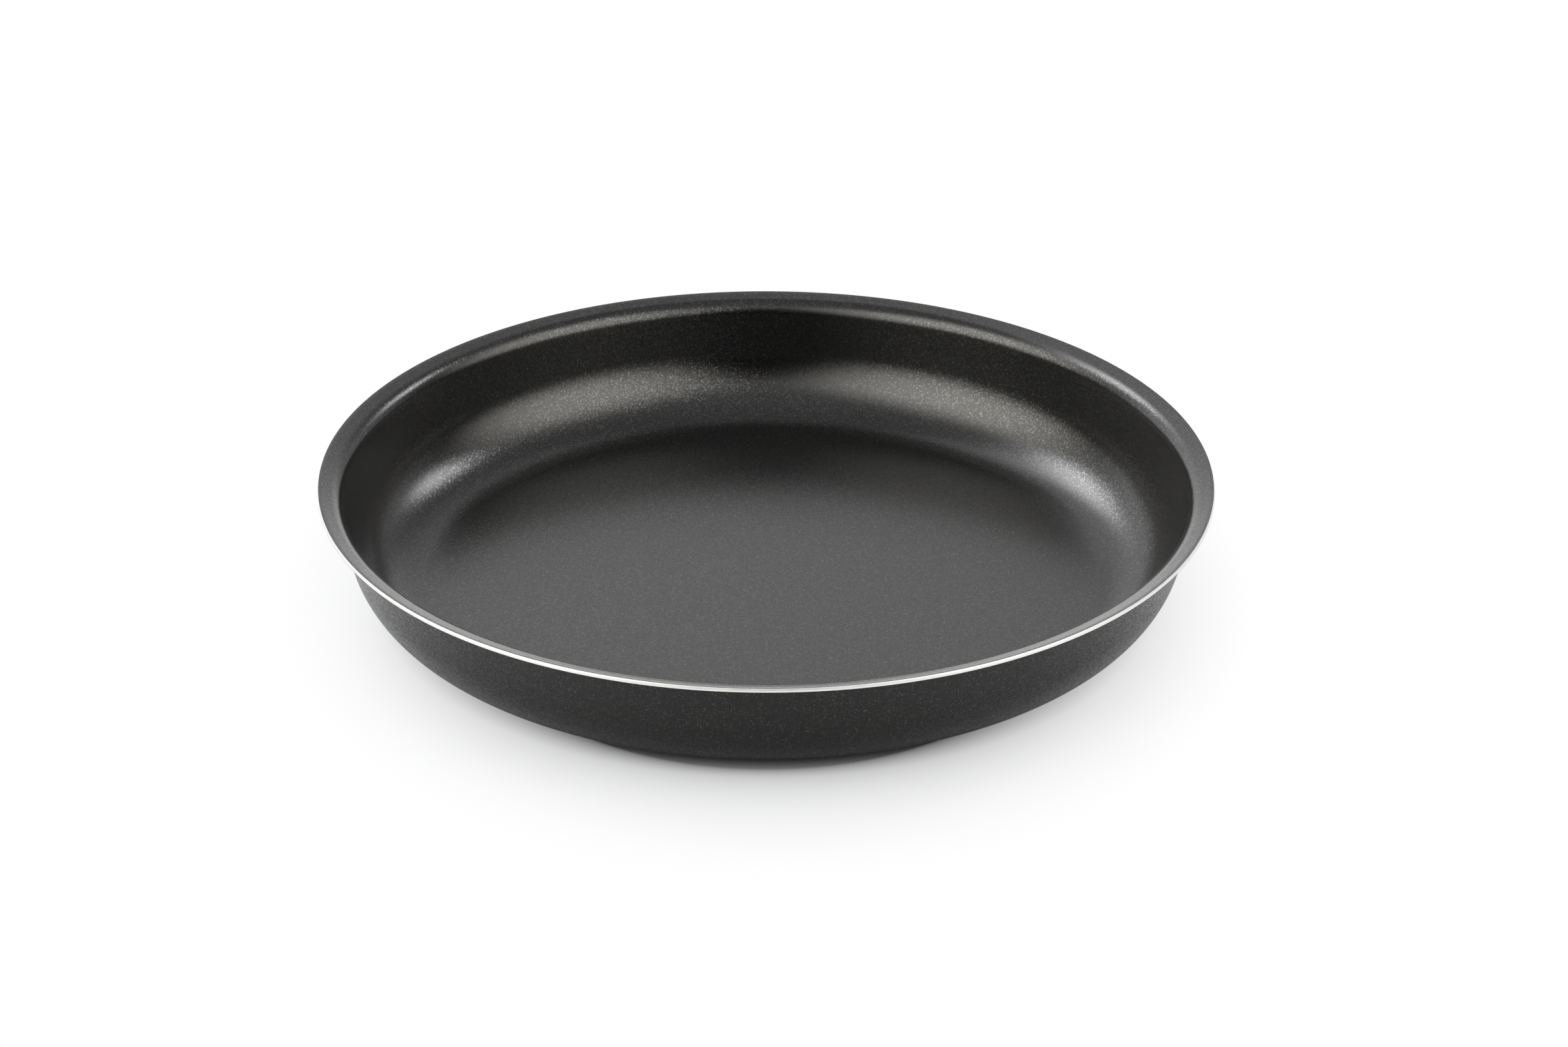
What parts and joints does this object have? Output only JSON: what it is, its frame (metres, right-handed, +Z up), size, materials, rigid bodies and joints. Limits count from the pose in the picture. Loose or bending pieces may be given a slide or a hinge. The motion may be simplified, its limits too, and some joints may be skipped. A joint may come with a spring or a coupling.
{
  "type": "lasagna pan",
  "caption": "Round shallow oven pan pressed from aluminium sheet, with a flared wall, a narrow rising lip with a bare cut edge and a speckled dark non-stick coating inside and out.",
  "frame": {"origin": "middle of the flat base, on the surface that the pan stands on", "axes": "+Z up through the middle of the pan, +X to the right and +Y away from the viewer in the picture"},
  "size_m": [0.28, 0.28, 0.0385],
  "materials": {
    "bare_aluminium": "satin",
    "interior_coating": "satin",
    "exterior_coating": "satin"
  },
  "bodies": {
    "root": {"aluminium_body": "bare_aluminium", "interior_nonstick_coating": "interior_coating", "exterior_coating": "exterior_coating"}
  },
  "joints": []
}
